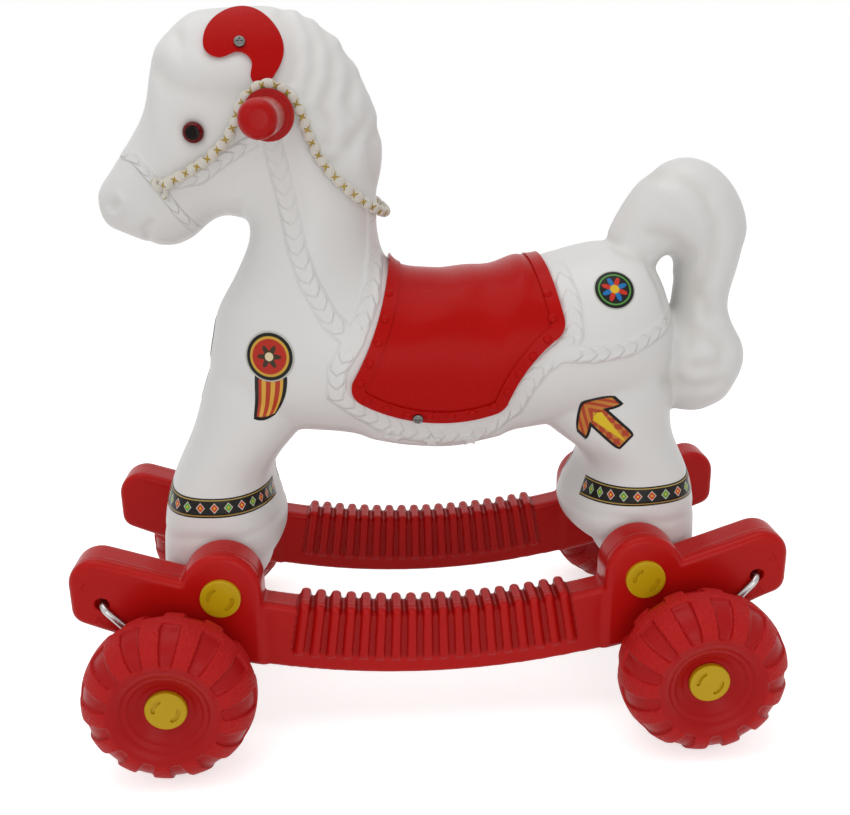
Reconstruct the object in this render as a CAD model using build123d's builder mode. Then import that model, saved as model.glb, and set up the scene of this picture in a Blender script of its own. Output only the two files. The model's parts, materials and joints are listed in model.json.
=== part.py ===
"""Rocking horse for a small child, with four wheels that swing down to make it a ride-on.

A white blow-moulded horse stands between two red rockers. Each wheel runs on its own bent steel
crank, which turns in the end of a rocker. The nose points to -X and the horse's left is -Y. Heights
are drawn from a level line under the rockers, and the written pieces stand on the floor at Z = 0.
"""

import os
from collections import namedtuple
from math import degrees, radians, tan

from build123d import *

# Stance of the horse over its feet
foot_reach = 181.0
foot_half_width = 78.0
foot_gap = 0.5
foot_bottom = 104.0
foot_round = 13.0
boss_axis_height = 126.5

# Moulded horse body
trunk_half_width = 80.0
neck_half_width = 50.0
head_half_width = 48.0
tail_half_width = 38.0

# Rockers
rocker_length = 612.0
rocker_width = 38.0
rocker_radius = 715.0
rocker_lift = 41.5
tread_width = 30.0
tread_height = 58.0
tread_round = 4.0
tip_height = 165.0
tip_rise = 8.0
tip_top_round = 22.0
tip_foot_round = 14.0
block_round = 6.0
boss_radius = 34.0
boss_lift = 4.0
rib_count = 18
rib_pitch = 14.4
rib_width = 9.2
rib_proud = 3.0
rib_bottom = 15.0
rib_top = 63.5
rib_round = 3.0

# Wheels
wheel_reach = 222.0
wheel_radius = 71.0
axle_height = 60.0
wheel_half_width = 32.0
hub_ring_radius = 38.0
hub_dish_radius = 30.0
hub_face_radius = 21.0
hub_dish_depth = 14.0
inner_dish_depth = 7.0
lug_count = 13
lug_depth = 2.4
recess_width = 18.0
recess_foot_width = 9.0
recess_inner_radius = 45.0
crown_band = 5.0

# Bent steel cranks
crank_radius = 3.0
crank_bend = 8.0
crank_gap = 0.6
pivot_reach = 279.5
pivot_height = 124.5
pivot_depth = 30.0
pivot_mouth_radius = 6.0
stop_radius = 4.0
stop_share = 0.5

# Caps, rods and screws
cap_radius = 17.0
cap_thickness = 4.0
cap_round = 1.2
cap_slot_width = 3.4
cap_slot_depth = 1.8
cap_slot_radius = 10.0
cap_slot_turn = 62.0
cap_grip = 2.4
foot_rod_radius = 4.0
running_gap = 0.05
seat_gap = 0.3
screw_head_radius = 4.6
screw_head_height = 2.4
screw_shank_radius = 1.9
screw_length = 14.0
screw_head_round = 1.2
screw_slot_length = 5.6
screw_slot_width = 1.1
screw_slot_depth = 1.2

# Saddle, ears, eyes and handles
saddle_wall = 2.6
saddle_rim = 11.0
saddle_rim_proud = 1.6
saddle_corner = 16.0
saddle_screw_x = -10.0
saddle_screw_z = 266.0
ear_wall = 3.6
ear_inner_edge = 6.0
ear_screw_x = -142.0
ear_screw_z = 568.0
eye_x = -182.0
eye_z = 501.0
eye_radius = 8.3
eye_proud = 4.6
eye_depth = 4.0
handle_x = -121.0
handle_z = 513.5
handle_boss_radius = 17.0
handle_boss_proud = 12.0
flange_radius = 20.0
flange_thickness = 4.0
collar_radius = 17.0
collar_length = 8.0
grip_radius = 14.3
grip_length = 86.0
grip_end_round = 9.0
handle_rod_radius = 5.0
handle_rod_grip = 70.0

# Rein
rein_radius = 4.0
knot_radius = 9.0
knot_x = -208.0
knot_z = 461.0

os.makedirs("parts", exist_ok=True)
rocker_middle = foot_half_width + foot_gap + rocker_width / 2
rocker_face = rocker_middle + rocker_width / 2
arm_line = rocker_face + crank_gap + crank_radius
wheel_inner_face = arm_line + crank_radius + crank_gap
wheel_middle = wheel_inner_face + wheel_half_width
arc_centre_height = rocker_lift + rocker_radius
stance_lift = wheel_radius - axle_height


def write(part, name):
    """Sets a finished piece on the floor with its wheels, labels it and writes it to its own file."""
    standing = part.moved(Location((0, 0, stance_lift)))
    standing.label = name
    export_step(standing, f"parts/{name}.step")


def write_pair(left_part, name):
    """Writes a piece of the horse's left side and its mirror image on the right."""
    write(left_part, f"left_{name}")
    with BuildPart() as right:
        mirror(left_part, about=Plane.XZ)
    write(right.part, f"right_{name}")


# Moulded body
# A station is one oval cross-section, square to the side view: its low and high end in that view,
# half its width from side to side, and how full its curve is towards the low and the high end.
Station = namedtuple("Station", "low high half_width low_full high_full", defaults=(0.62, 0.62))


def station_plane(station):
    """The plane of a section, with its X axis from low to high and its Y axis to the side."""
    across = Vector(station.high[0] - station.low[0], 0, station.high[1] - station.low[1])
    middle = Vector(station.low[0] + station.high[0], 0, station.low[1] + station.high[1]) / 2
    return Plane(middle, across, across.cross(Vector(0, 1, 0)))


def oval_loft(stations, grow=0.0):
    """A smooth form through a row of oval sections, grown all round by a margin.

    It is lofted as the left half of the mould and mirrored.
    """
    with BuildPart() as form:
        for station in stations:
            half = Vector(*station.high).sub(Vector(*station.low)).length / 2 + grow
            width = station.half_width + grow
            low, high = station.low_full, station.high_full
            with BuildSketch(station_plane(station)):
                with BuildLine():
                    Bezier((-half, 0), (-half, -low * width), (-low * half, -width), (0, -width))
                    Bezier((0, -width), (high * half, -width), (half, -high * width), (half, 0))
                    Line((half, 0), (-half, 0))
                make_face()
        loft()
        mirror(about=Plane.XZ)
    return form.part


main_stations = [
    Station((-268, 434), (-271, 448), 0.30 * head_half_width),
    Station((-258, 420), (-262, 466), 0.66 * head_half_width),
    Station((-240, 412), (-250, 482), 0.80 * head_half_width),
    Station((-218, 406), (-238, 499), 0.86 * head_half_width),
    Station((-197, 413), (-226, 520), 0.93 * head_half_width),
    Station((-178, 428), (-219, 548), head_half_width),
    Station((-161, 430), (-204, 576), head_half_width),
    Station((-150, 427), (-172, 595), head_half_width, 0.62, 0.55),
    Station((-147, 420), (-128, 597), 0.97 * head_half_width, 0.62, 0.48),
    Station((-148, 411), (-85, 586), 0.95 * neck_half_width, 0.62, 0.45),
    Station((-152, 400), (-49, 545), neck_half_width, 0.62, 0.42),
    Station((-160, 384), (-33, 498), 1.06 * neck_half_width, 0.62, 0.42),
    Station((-170, 367), (-35, 452), 1.16 * neck_half_width, 0.62, 0.45),
    Station((-182, 344), (-38, 412), 1.30 * neck_half_width, 0.62, 0.48),
    Station((-189, 312), (-27, 386), 0.90 * trunk_half_width, 0.62, 0.52),
    Station((-188, 276), (-9, 379), 0.96 * trunk_half_width, 0.62, 0.55),
    Station((-150, 246), (10, 377), 0.99 * trunk_half_width, 0.62, 0.58),
    Station((-90, 238), (28, 377), trunk_half_width),
    Station((-30, 228), (48, 378), trunk_half_width),
    Station((25, 224), (70, 381), trunk_half_width),
    Station((75, 232), (94, 385), trunk_half_width),
    Station((120, 238), (121, 391), trunk_half_width),
    Station((160, 242), (150, 398), 0.98 * trunk_half_width),
    Station((190, 252), (175, 399), 0.90 * trunk_half_width),
    Station((209, 268), (194, 391), 0.74 * trunk_half_width),
    Station((219, 286), (209, 370), 0.52 * trunk_half_width),
    Station((224, 302), (218, 346), 0.26 * trunk_half_width),
]
front_leg_stations = [
    Station((12 - foot_reach, 330), (78 - foot_reach, 330), 0.66 * foot_half_width),
    Station((-9 - foot_reach, 298), (88 - foot_reach, 298), 0.80 * foot_half_width),
    Station((-21 - foot_reach, 266), (83 - foot_reach, 266), 0.86 * foot_half_width),
    Station((-33 - foot_reach, 234), (62 - foot_reach, 234), 0.88 * foot_half_width),
    Station((-49 - foot_reach, 201), (41 - foot_reach, 201), 0.91 * foot_half_width, 0.70),
    Station((-58 - foot_reach, 168), (47 - foot_reach, 168), 0.975 * foot_half_width, 0.78),
    Station((-61 - foot_reach, 136), (46 - foot_reach, 136), 0.985 * foot_half_width, 0.82),
    Station((-60 - foot_reach, foot_bottom), (42 - foot_reach, foot_bottom), 0.98 * foot_half_width, 0.82),
]
rear_leg_stations = [
    Station((foot_reach - 54, 330), (foot_reach + 22, 330), 0.70 * foot_half_width),
    Station((foot_reach - 76, 298), (foot_reach + 38, 298), 0.84 * foot_half_width),
    Station((foot_reach - 84, 266), (foot_reach + 45, 266), 0.90 * foot_half_width),
    Station((foot_reach - 68, 234), (foot_reach + 46, 234), 0.92 * foot_half_width),
    Station((foot_reach - 36, 203), (foot_reach + 57, 203), 0.92 * foot_half_width, 0.62, 0.70),
    Station((foot_reach - 48, 170), (foot_reach + 66, 170), 0.975 * foot_half_width, 0.62, 0.78),
    Station((foot_reach - 44, 137), (foot_reach + 67, 137), 0.985 * foot_half_width, 0.62, 0.82),
    Station((foot_reach - 39, foot_bottom), (foot_reach + 66, foot_bottom), 0.98 * foot_half_width, 0.62, 0.82),
]
tail_arch_stations = [
    Station((206, 372), (160, 392), 0.62 * tail_half_width),
    Station((212, 384), (190, 447), 0.86 * tail_half_width),
    Station((219, 386), (234, 470), tail_half_width),
    Station((226, 380), (274, 444), tail_half_width),
    Station((227, 366), (285, 400), 0.92 * tail_half_width),
]
tail_fall_stations = [
    tail_arch_stations[-1],
    Station((227, 356), (280, 373), 0.87 * tail_half_width),
    Station((226, 342), (275, 350), 0.84 * tail_half_width),
    Station((222, 327), (278, 328), 0.86 * tail_half_width),
    Station((214, 308), (290, 307), 0.95 * tail_half_width),
    Station((212, 286), (293, 285), tail_half_width),
    Station((216, 264), (284, 262), 0.88 * tail_half_width),
    Station((228, 245), (260, 243), 0.50 * tail_half_width),
]
main_form = oval_loft(main_stations)
front_legs = oval_loft(front_leg_stations)
rear_legs = oval_loft(rear_leg_stations)
tail_arch = oval_loft(tail_arch_stations)
tail_fall = oval_loft(tail_fall_stations)
with BuildPart() as horse_form:
    add([front_legs, rear_legs])
    fillet(horse_form.faces().group_by(Axis.Z)[0].edges(), foot_round)
    add([main_form, tail_arch, tail_fall])


def flank_plane(form, x, z):
    """The plane on the left side of a form at a place in the side view, facing outwards."""
    hits = form.find_intersection_points(Axis((x, 0, z), (0, -1, 0)))
    point, normal = min(hits, key=lambda hit: hit[0].Y)
    return Plane(point, z_dir=normal)


def skin(margin):
    """The main form grown by a margin, to cut shells that follow the body."""
    return oval_loft(main_stations, margin)


seat_skin = skin(seat_gap)
saddle_skin = skin(seat_gap + saddle_wall)
rim_skin = skin(seat_gap + saddle_wall + saddle_rim_proud)
ear_skin = skin(seat_gap + ear_wall)
eye_plane = flank_plane(main_form, eye_x, eye_z)
saddle_screw_plane = flank_plane(rim_skin, saddle_screw_x, saddle_screw_z)
ear_screw_plane = flank_plane(ear_skin, ear_screw_x, ear_screw_z)
boss_face = head_half_width + handle_boss_proud


with BuildPart() as left_pockets:
    for plane in (saddle_screw_plane, ear_screw_plane):
        with BuildSketch(plane):
            Circle(screw_shank_radius + running_gap)
    extrude(amount=-screw_length - seat_gap)
    with BuildSketch(eye_plane):
        Circle(eye_radius + seat_gap)
    extrude(amount=-eye_depth, both=True)

with BuildPart() as horse_body:
    add(horse_form.part)
    with BuildSketch(Plane.XZ):
        with Locations((handle_x, handle_z)):
            Circle(handle_boss_radius)
    extrude(amount=boss_face, both=True)
    with BuildSketch(Plane.XZ):
        with Locations((handle_x, handle_z)):
            Circle(handle_rod_radius + running_gap)
        with Locations((-foot_reach, boss_axis_height), (foot_reach, boss_axis_height)):
            Circle(foot_rod_radius + running_gap)
    extrude(amount=2 * foot_half_width, both=True, mode=Mode.SUBTRACT)
    add(left_pockets.part, mode=Mode.SUBTRACT)
    mirror(left_pockets.part, about=Plane.XZ, mode=Mode.SUBTRACT)
write(horse_body.part, "horse_body")

# Saddle
# One moulded shell that hugs the back, with a raised rim all round its edge.
with BuildSketch(Plane.XZ) as saddle_outline:
    with BuildLine():
        ThreePointArc((-24, 420), (-39, 355), (-70, 290))
        ThreePointArc((-70, 290), (9, 260), (64, 270))
        ThreePointArc((64, 270), (83, 309), (115, 338))
        Line((115, 338), (97, 420))
        Line((97, 420), (-24, 420))
    make_face()
    fillet(saddle_outline.vertices().group_by(Axis.Y)[:-1], saddle_corner)
with BuildSketch(Plane.XZ) as saddle_panel:
    offset(saddle_outline.sketch, amount=-saddle_rim)
with BuildPart() as saddle_field:
    extrude(saddle_panel.sketch, amount=2 * trunk_half_width, both=True)
with BuildPart() as saddle:
    extrude(saddle_outline.sketch, amount=2 * trunk_half_width, both=True)
    add(saddle_field.part, mode=Mode.SUBTRACT)
    add(rim_skin, mode=Mode.INTERSECT)
with BuildPart() as saddle_middle:
    add(saddle_field.part)
    add(saddle_skin, mode=Mode.INTERSECT)
with BuildPart() as saddle_shell:
    add(saddle.part)
    add(saddle_middle.part)
    add(seat_skin, mode=Mode.SUBTRACT)
    add(left_pockets.part, mode=Mode.SUBTRACT)
    mirror(left_pockets.part, about=Plane.XZ, mode=Mode.SUBTRACT)
write(saddle_shell.part, "saddle")

# Ears
# Curled plates that are screwed to the sides of the poll.
ear_points = [
    (-170, 567), (-160, 589), (-139, 596), (-117, 584), (-108, 562), (-116, 543),
    (-127, 535), (-134, 541), (-133, 553), (-143, 561), (-157, 557),
]
with BuildPart() as left_ear:
    with BuildSketch(Plane.XZ.offset(ear_inner_edge)):
        with BuildLine():
            Spline(*ear_points, periodic=True)
        make_face()
    extrude(amount=2 * head_half_width)
    add(ear_skin, mode=Mode.INTERSECT)
    add(seat_skin, mode=Mode.SUBTRACT)
    add(left_pockets.part, mode=Mode.SUBTRACT)
write_pair(left_ear.part, "ear")

# Eyes
# Glossy beads pressed into round pockets in the head.
with BuildPart() as left_eye:
    with BuildSketch(eye_plane.offset(-eye_depth)):
        Circle(eye_radius)
    extrude(amount=eye_depth + eye_proud)
    fillet(left_eye.faces().sort_by(Axis.Y)[0].edges(), eye_proud)
write_pair(left_eye.part, "eye")


# Screws
def screw(plane):
    """A cross-slotted pan-head screw with its head on the given plane."""
    with BuildPart() as one_screw:
        with BuildSketch(plane.offset(-screw_length)):
            Circle(screw_shank_radius)
        extrude(amount=screw_length + screw_head_height)
        with BuildSketch(plane.offset(running_gap)):
            Circle(screw_head_radius)
        extrude(amount=screw_head_height)
        fillet(one_screw.faces().sort_by(Axis(plane.origin, plane.z_dir))[-1].edges(), screw_head_round)
        with BuildSketch(plane.offset(running_gap + screw_head_height)):
            Rectangle(screw_slot_length, screw_slot_width)
            Rectangle(screw_slot_width, screw_slot_length)
        extrude(amount=-screw_slot_depth, mode=Mode.SUBTRACT)
    return one_screw.part


for name, plane in (("saddle_screws", saddle_screw_plane), ("ear_screws", ear_screw_plane)):
    left_screw = screw(plane)
    with BuildPart() as screw_pair:
        add(left_screw)
        mirror(left_screw, about=Plane.XZ)
    write(screw_pair.part, name)

# Handles
# A steel rod through the head carries a grip on each side, with a collar and a flange against it.
grip_steps = (
    (flange_radius, flange_thickness),
    (collar_radius, collar_length),
    (grip_radius, grip_length),
)
with BuildPart() as left_grip:
    reach = boss_face
    for radius, length in grip_steps:
        with BuildSketch(Plane.XZ.offset(reach)):
            with Locations((handle_x, handle_z)):
                Circle(radius)
        extrude(amount=length)
        reach += length
    fillet(left_grip.faces().sort_by(Axis.Y)[0].edges(), grip_end_round)
    with BuildSketch(Plane.XZ.offset(boss_face)):
        with Locations((handle_x, handle_z)):
            Circle(handle_rod_radius + running_gap)
    extrude(amount=handle_rod_grip + seat_gap, mode=Mode.SUBTRACT)
write_pair(left_grip.part, "grip")


def cross_rod(x, z, radius, half_length, name):
    """A plain steel rod that runs through the horse from side to side."""
    with BuildPart() as rod:
        with BuildSketch(Plane.XZ):
            with Locations((x, z)):
                Circle(radius)
        extrude(amount=half_length, both=True)
    write(rod.part, name)


cross_rod(handle_x, handle_z, handle_rod_radius, boss_face + handle_rod_grip, "handle_rod")
cross_rod(-foot_reach, boss_axis_height, foot_rod_radius, rocker_face + cap_grip, "front_foot_rod")
cross_rod(foot_reach, boss_axis_height, foot_rod_radius, rocker_face + cap_grip, "rear_foot_rod")

# Rockers
# Both rockers are the same shape, so one is drawn in the middle plane and then set to each side.
def tip_outline():
    """Side view of a rocker's front end with its dome, before its foot is cut to the arc."""
    tip = -rocker_length / 2
    dome_side = boss_radius - foot_reach
    return [
        (tip, 0),
        (tip, tip_height + tip_rise),
        (-foot_reach, boss_axis_height + boss_lift),
        (dome_side, boss_axis_height + boss_lift),
        (dome_side, 0),
    ]


with BuildPart() as rocker_end:
    with BuildSketch(Plane.XZ) as end_outline:
        with BuildLine():
            Polyline(*tip_outline(), close=True)
        make_face()
        with Locations((-foot_reach, boss_axis_height + boss_lift)):
            Circle(boss_radius)
        with Locations((0, arc_centre_height)):
            Circle(rocker_radius, mode=Mode.INTERSECT)
        fillet(end_outline.vertices().group_by(Axis.X)[0].sort_by(Axis.Y)[-1], tip_top_round)
        fillet(end_outline.vertices().group_by(Axis.X)[0].sort_by(Axis.Y)[0], tip_foot_round)
    extrude(amount=rocker_width / 2, both=True)
    fillet(rocker_end.faces().filter_by(Axis.Y).edges(), block_round)

with BuildPart() as rib:
    with BuildSketch(Plane.XY.offset(rib_bottom - rocker_radius)):
        RectangleRounded(rib_width, tread_width + 2 * rib_proud, rib_width / 2 - running_gap)
    extrude(amount=rib_top - rib_bottom)
    fillet(rib.faces().sort_by(Axis.Z)[-1].edges(), rib_round)

rib_step = degrees(rib_pitch / rocker_radius)
rib_turns = [(index - (rib_count - 1) / 2) * rib_step for index in range(rib_count)]
arc_centre = (0, 0, arc_centre_height)
with BuildPart() as rocker_tread:
    with BuildSketch(Plane.XZ):
        with Locations((0, arc_centre_height)):
            Circle(rocker_radius)
            Circle(rocker_radius - tread_height, mode=Mode.SUBTRACT)
        Rectangle(2 * foot_reach, 2 * arc_centre_height, mode=Mode.INTERSECT)
        with Locations((0, 2 * arc_centre_height)):
            Rectangle(rocker_length, 2 * arc_centre_height, mode=Mode.SUBTRACT)
    extrude(amount=tread_width / 2, both=True)
    fillet(rocker_tread.faces().filter_by(Axis.Y).edges().filter_by(GeomType.CIRCLE), tread_round)
    with Locations([Location(arc_centre, (0, turn, 0)) for turn in rib_turns]):
        add(rib.part)

arm = Vector(pivot_reach - wheel_reach, 0, axle_height - pivot_height)
arm_side = Vector(-arm.Z, 0, arm.X).normalized()
stop_place = Vector(-pivot_reach, 0, pivot_height) + arm * stop_share
stop_place += arm_side * (crank_radius + seat_gap + stop_radius)
stops = [(stop_place.X, stop_place.Z), (-stop_place.X, stop_place.Z)]
pivots = [(-pivot_reach, pivot_height), (pivot_reach, pivot_height)]
with BuildPart() as left_rocker:
    with Locations((0, -rocker_middle, 0)):
        add(rocker_tread.part)
        add(rocker_end.part)
        add(mirror(rocker_end.part, about=Plane.YZ, mode=Mode.PRIVATE))
    with BuildSketch(Plane.XZ):
        with Locations((-foot_reach, boss_axis_height), (foot_reach, boss_axis_height)):
            Circle(foot_rod_radius + running_gap)
    extrude(amount=2 * rocker_face, mode=Mode.SUBTRACT)
    with BuildSketch(Plane.XZ.offset(rocker_face)):
        with Locations(*pivots):
            Circle(crank_radius + running_gap)
    extrude(amount=-pivot_depth, mode=Mode.SUBTRACT)
    with BuildSketch(Plane.XZ.offset(rocker_face)):
        with Locations(*pivots):
            Circle(pivot_mouth_radius)
    extrude(amount=-crank_bend, mode=Mode.SUBTRACT)
    with BuildSketch(Plane.XZ.offset(rocker_face - block_round)):
        with Locations(*stops):
            Circle(stop_radius)
    extrude(amount=block_round + 2 * crank_radius)
write_pair(left_rocker.part, "rocker")


# Caps
def press_cap(rod_radius):
    """A round cap with three curved slots, facing -Y from the origin, with a socket for its rod."""
    with BuildPart() as cap:
        with BuildSketch(Plane.XZ):
            Circle(cap_radius)
        extrude(amount=cap_thickness)
        fillet(cap.faces().sort_by(Axis.Y)[0].edges(), cap_round)
        with BuildSketch(Plane.XZ.offset(cap_thickness)):
            with PolarLocations(0, 3):
                slot_arc = CenterArc((0, 0), cap_slot_radius, 0, cap_slot_turn, mode=Mode.PRIVATE)
                SlotArc(slot_arc, cap_slot_width)
        extrude(amount=-cap_slot_depth, mode=Mode.SUBTRACT)
        with BuildSketch(Plane.XZ):
            Circle(rod_radius + running_gap)
        extrude(amount=cap_grip + running_gap, mode=Mode.SUBTRACT)
    return cap.part


def write_corners(left_part, x, y, z, name):
    """Writes a piece four times: at each end and on each side of the horse."""
    for end, sign in (("front", -1), ("rear", 1)):
        with BuildPart() as left_piece:
            with Locations((sign * x, -y, z)):
                add(left_part)
        write(left_piece.part, f"{end}_left_{name}")
        with BuildPart() as right_piece:
            mirror(left_piece.part, about=Plane.XZ)
        write(right_piece.part, f"{end}_right_{name}")


write_corners(press_cap(foot_rod_radius), foot_reach, rocker_face, boss_axis_height, "boss_cap")
hub_face = wheel_middle + wheel_half_width - hub_dish_depth
cap_seat = hub_face + crank_gap
write_corners(press_cap(crank_radius), wheel_reach, cap_seat, axle_height, "wheel_cap")


# Cranks
def crank(sign):
    """A round steel bar with two bends, from its pivot in the left rocker to its wheel."""
    route = [
        (sign * pivot_reach, -(rocker_face - pivot_depth + seat_gap), pivot_height),
        (sign * pivot_reach, -arm_line, pivot_height),
        (sign * wheel_reach, -arm_line, axle_height),
        (sign * wheel_reach, -(cap_seat + cap_grip), axle_height),
    ]
    with BuildPart() as bar:
        with BuildLine() as bar_line:
            FilletPolyline(*route, radius=crank_bend)
        with BuildSketch(Plane(route[0], z_dir=(0, -1, 0))):
            Circle(crank_radius)
        sweep(path=bar_line.line)
    return bar.part


for end, sign in (("front", -1), ("rear", 1)):
    left_crank = crank(sign)
    write(left_crank, f"{end}_left_crank")
    with BuildPart() as right_crank:
        mirror(left_crank, about=Plane.XZ)
    write(right_crank.part, f"{end}_right_crank")


# Wheels
def tyre_curve(depth):
    """Half of the round tyre section, from the crown to the hub ring, sunk by a depth."""
    radius = wheel_radius - depth
    half_width = wheel_half_width - depth
    wall = radius - hub_ring_radius
    return [
        (radius, 0),
        (hub_ring_radius + 0.93 * wall, 0.44 * half_width),
        (hub_ring_radius + 0.69 * wall, 0.79 * half_width),
        (hub_ring_radius + 0.31 * wall, half_width),
        (hub_ring_radius, 0.94 * half_width),
    ]


def wheel_blank(depth):
    """The turned shape of a wheel about the Y axis, with its outer side to -Y."""
    curve = tyre_curve(depth)
    outer_lip = (hub_ring_radius, -curve[-1][1])
    outer_hub = hub_dish_depth - wheel_half_width
    inner_hub = wheel_half_width - inner_dish_depth
    ring_step = (hub_ring_radius - hub_dish_radius) / 3
    ring_drop = (outer_hub - outer_lip[1]) / 6
    with BuildPart() as blank:
        with BuildSketch(Plane.XY):
            with BuildLine():
                Spline(*reversed(curve), *[(r, -y) for r, y in curve[1:]])
                Polyline(
                    outer_lip,
                    (hub_ring_radius - ring_step, outer_lip[1] + ring_drop),
                    (hub_ring_radius - ring_step, outer_lip[1] + 2 * ring_drop),
                    (hub_dish_radius + ring_step / 2, outer_lip[1] + 2 * ring_drop),
                    (hub_dish_radius, outer_lip[1] + 3 * ring_drop),
                    (hub_face_radius, outer_hub),
                    (crank_radius + running_gap, outer_hub),
                    (crank_radius + running_gap, inner_hub),
                    (hub_dish_radius, inner_hub),
                    (hub_ring_radius, curve[-1][1]),
                )
            make_face()
        revolve(axis=Axis.Y)
    return blank.part


wheel_core = wheel_blank(lug_depth)
recess_outline = [
    (recess_inner_radius, -recess_foot_width / 2),
    (wheel_radius + lug_depth, -recess_width / 2),
    (wheel_radius + lug_depth, recess_width / 2),
    (recess_inner_radius, recess_foot_width / 2),
]
with BuildPart() as recesses:
    with BuildSketch(Plane.XZ.offset(crown_band)):
        with PolarLocations(0, lug_count):
            Polygon(*recess_outline, align=None)
    extrude(amount=wheel_half_width)
    with BuildSketch(Plane.XZ.offset(-crown_band)):
        with PolarLocations(0, lug_count, start_angle=180 / lug_count):
            Polygon(*recess_outline, align=None)
    extrude(amount=-wheel_half_width)
    add(wheel_core, mode=Mode.SUBTRACT)
with BuildPart() as left_wheel:
    add(wheel_blank(0))
    add(recesses.part, mode=Mode.SUBTRACT)
write_corners(left_wheel.part, wheel_reach, wheel_middle, axle_height, "wheel")

# Rein
# A soft rope that is knotted beside the mouth, runs over the handle bosses and round the mane.
knot_seat = flank_plane(main_form, knot_x, knot_z)
knot_place = knot_seat.origin + knot_seat.z_dir * (knot_radius + seat_gap)
rein_side = [
    knot_place,
    (-190, -54, 469.5), (-173, -54, 479), (-159, -54, 491), (-149, -54, 506),
    (-144.5, -54, 522), (-135, -54, 534.5), (-121, -54, 539.5), (-107, -53.5, 535),
    (-98, -53.5, 523), (-93.5, -53.5, 508), (-88.5, -53.5, 492), (-80, -52.5, 477),
    (-67, -50, 464), (-53, -44, 454), (-41, -34, 447), (-32.5, -19, 442),
]
rein_side = [Vector(*point) for point in rein_side]
rein_back = Vector(-29.5, 0, 440)
rein_points = [*rein_side, rein_back, *[Vector(p.X, -p.Y, p.Z) for p in reversed(rein_side)]]


def corner_radius(before, corner, after):
    """The largest arc that suits a corner of the rein's route."""
    arriving, leaving = corner - before, after - corner
    turn = radians(arriving.get_angle(leaving))
    return 0.45 * min(arriving.length, leaving.length) / tan(turn / 2)


rein_radii = [corner_radius(*rein_points[i : i + 3]) for i in range(len(rein_points) - 2)]
knot_plane = Plane(rein_points[0], z_dir=rein_points[1] - rein_points[0])
print("rein radii", [round(radius, 1) for radius in rein_radii])
with BuildPart() as rein:
    with BuildLine() as rein_line:
        FilletPolyline(*rein_points, radius=rein_radii)
    with BuildSketch(knot_plane):
        Circle(rein_radius)
    sweep(path=rein_line.line)
write(rein.part, "rein")

with BuildPart() as left_knot:
    with Locations(knot_plane):
        Sphere(knot_radius)
    with BuildSketch(knot_plane):
        Circle(rein_radius + running_gap)
    extrude(amount=2 * knot_radius, mode=Mode.SUBTRACT)
write_pair(left_knot.part, "rein_knot")
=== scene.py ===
import json
import math

import bmesh
import bpy
import numpy as np
from mathutils import Matrix, Vector
from mathutils.bvhtree import BVHTree

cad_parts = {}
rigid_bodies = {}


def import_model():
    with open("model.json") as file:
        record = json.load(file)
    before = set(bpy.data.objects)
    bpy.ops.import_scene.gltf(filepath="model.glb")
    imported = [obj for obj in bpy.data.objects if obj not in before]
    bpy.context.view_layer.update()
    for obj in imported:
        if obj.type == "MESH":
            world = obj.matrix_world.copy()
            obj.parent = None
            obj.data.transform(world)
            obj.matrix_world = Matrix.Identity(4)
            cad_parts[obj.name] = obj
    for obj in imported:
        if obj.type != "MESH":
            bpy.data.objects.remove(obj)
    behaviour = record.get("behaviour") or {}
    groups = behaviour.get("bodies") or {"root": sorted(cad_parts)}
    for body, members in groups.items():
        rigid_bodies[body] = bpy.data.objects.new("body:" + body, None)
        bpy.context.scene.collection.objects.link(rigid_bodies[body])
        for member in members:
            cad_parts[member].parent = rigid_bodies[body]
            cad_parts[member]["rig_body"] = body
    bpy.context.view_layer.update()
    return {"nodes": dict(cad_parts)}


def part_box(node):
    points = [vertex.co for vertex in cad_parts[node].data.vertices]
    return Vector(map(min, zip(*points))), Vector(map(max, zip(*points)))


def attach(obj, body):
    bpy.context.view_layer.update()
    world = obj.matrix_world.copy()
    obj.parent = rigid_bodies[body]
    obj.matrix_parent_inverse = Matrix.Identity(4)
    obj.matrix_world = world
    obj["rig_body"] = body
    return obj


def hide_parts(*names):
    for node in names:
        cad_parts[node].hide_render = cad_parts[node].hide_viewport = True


# Frame
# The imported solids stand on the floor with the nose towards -X and the near side at -Y.
# Sizes are metres, and mm turns a size that reads better in millimetres into metres.
# Side-view heights count from the rockers' own level, which the wheels lift by the stance.
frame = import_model()
mm = 0.001
stance = 11.0
sides = {"left": -1, "right": 1}
ends = {"front": -1, "rear": 1}

# Horse body
# One white polyethylene shell, blow-moulded in two halves, with the mane, harness and tail moulded in.
# Steel rods through its feet and head hold it between the rockers and carry the grips.
body_voxel = 2.7 * mm
body_rounds = 5
body_white = (0.75, 0.745, 0.735)
body_deep_white = (0.72, 0.714, 0.70)
# The hollow colour is a darker, warmer white painted into the sunk grooves as shade.
body_hollow_shade = (0.64, 0.62, 0.58)
merge_gap = 0.005 * mm


def smooth_copy(node, name, sharp_angle=32):
    """A merged, smoothly shaded copy of a CAD node that stands for it on the same body."""
    body = frame["nodes"][node]["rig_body"]
    mesh = frame["nodes"][node].data.copy()
    bm = bmesh.new()
    bm.from_mesh(mesh)
    bmesh.ops.remove_doubles(bm, verts=bm.verts, dist=merge_gap)
    bm.to_mesh(mesh)
    bm.free()
    mesh.materials.clear()
    if "custom_normal" in mesh.attributes:
        mesh.attributes.remove(mesh.attributes["custom_normal"])
    mesh.shade_smooth()
    mesh.set_sharp_from_angle(angle=math.radians(sharp_angle))
    return placed(mesh, name, body, node)


def placed(mesh, name, body, *nodes):
    """An object for a finished mesh, riding on a body and standing for the named CAD nodes."""
    mesh.name = name
    piece = bpy.data.objects.new(name, mesh)
    bpy.context.scene.collection.objects.link(piece)
    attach(piece, body)
    if nodes:
        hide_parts(*nodes)
    return piece


def finish_with(piece, material):
    """Gives a piece its material."""
    piece.data.materials.append(material)


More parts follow.
